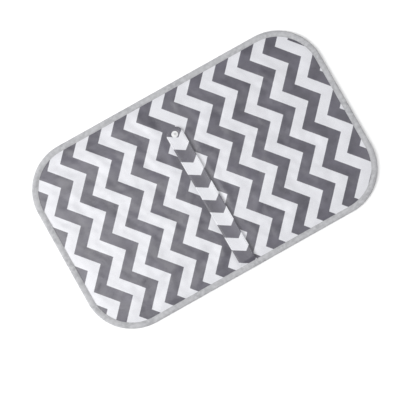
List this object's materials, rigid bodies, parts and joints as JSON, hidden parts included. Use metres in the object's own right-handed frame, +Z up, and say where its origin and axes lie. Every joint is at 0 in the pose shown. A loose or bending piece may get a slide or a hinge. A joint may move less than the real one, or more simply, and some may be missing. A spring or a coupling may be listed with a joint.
{
  "type": "changing pad",
  "caption": "Thin padded baby changing pad with rounded corners, a bound edge and a snap strap; it folds in half and the strap closes round it.",
  "frame": {"origin": "on the surface the pad lies on, below the middle of the pad", "axes": "+X along the long edges, +Y across the pad from the edge with the strap's sewn end to the far edge, +Z up out of the printed face"},
  "size_m": [0.574, 0.357, 0.0101],
  "materials": {
    "printed_cloth": "woven cotton, zigzag stripes of grey and white",
    "liner_cloth": "smooth coated wipe-clean cloth",
    "wadding": "soft polyester wadding",
    "binding_tape": "ribbed woven tape",
    "thread": "sewing thread",
    "patch_cloth": "stiff woven interlining",
    "snap_plastic": "moulded white plastic"
  },
  "bodies": {
    "front_half": {"cover_front": "printed_cloth", "wadding_front": "wadding", "liner_front": "liner_cloth", "binding_front": "binding_tape", "edge_stitching_front": "thread", "strap_root": "printed_cloth", "snap_socket": "snap_plastic", "snap_socket_cap": "snap_plastic", "snap_patch": "patch_cloth"},
    "back_half": {"cover_back": "printed_cloth", "wadding_back": "wadding", "liner_back": "liner_cloth", "binding_back": "binding_tape", "edge_stitching_back": "thread"},
    "strap_1": {"strap_over_edge": "printed_cloth"},
    "strap_2": {"strap_down_side": "printed_cloth"},
    "strap_3": {"strap_under_run": "printed_cloth"},
    "strap_4": {"strap_up_fold": "printed_cloth"},
    "strap_5": {"strap_snap_end": "printed_cloth", "snap_stud": "snap_plastic", "strap_snap_cap": "snap_plastic"}
  },
  "joints": [
    {"name": "fold_under", "type": "hinge", "parent": "front_half", "child": "back_half", "pos_m": [0, 0, -0.0005], "axis": [-1, 0, 0], "range_deg": [0, 180]},
    {"name": "strap_swing", "type": "hinge", "parent": "front_half", "child": "strap_1", "pos_m": [0, -0.16435, 0.0079], "axis": [1, 0, 0], "range_deg": [0, 180]},
    {"name": "strap_turn_edge", "type": "hinge", "parent": "strap_1", "child": "strap_2", "pos_m": [0, -0.1497, 0.0079], "axis": [1, 0, 0], "range_deg": [0, 90]},
    {"name": "strap_turn_under", "type": "hinge", "parent": "strap_2", "child": "strap_3", "pos_m": [0, -0.1353, 0.0079], "axis": [1, 0, 0], "range_deg": [0, 90]},
    {"name": "strap_turn_fold", "type": "hinge", "parent": "strap_3", "child": "strap_4", "pos_m": [0, 0.0499, 0.0079], "axis": [1, 0, 0], "range_deg": [0, 90]},
    {"name": "strap_turn_top", "type": "hinge", "parent": "strap_4", "child": "strap_5", "pos_m": [0, 0.0633, 0.0079], "axis": [1, 0, 0], "range_deg": [0, 90]}
  ]
}
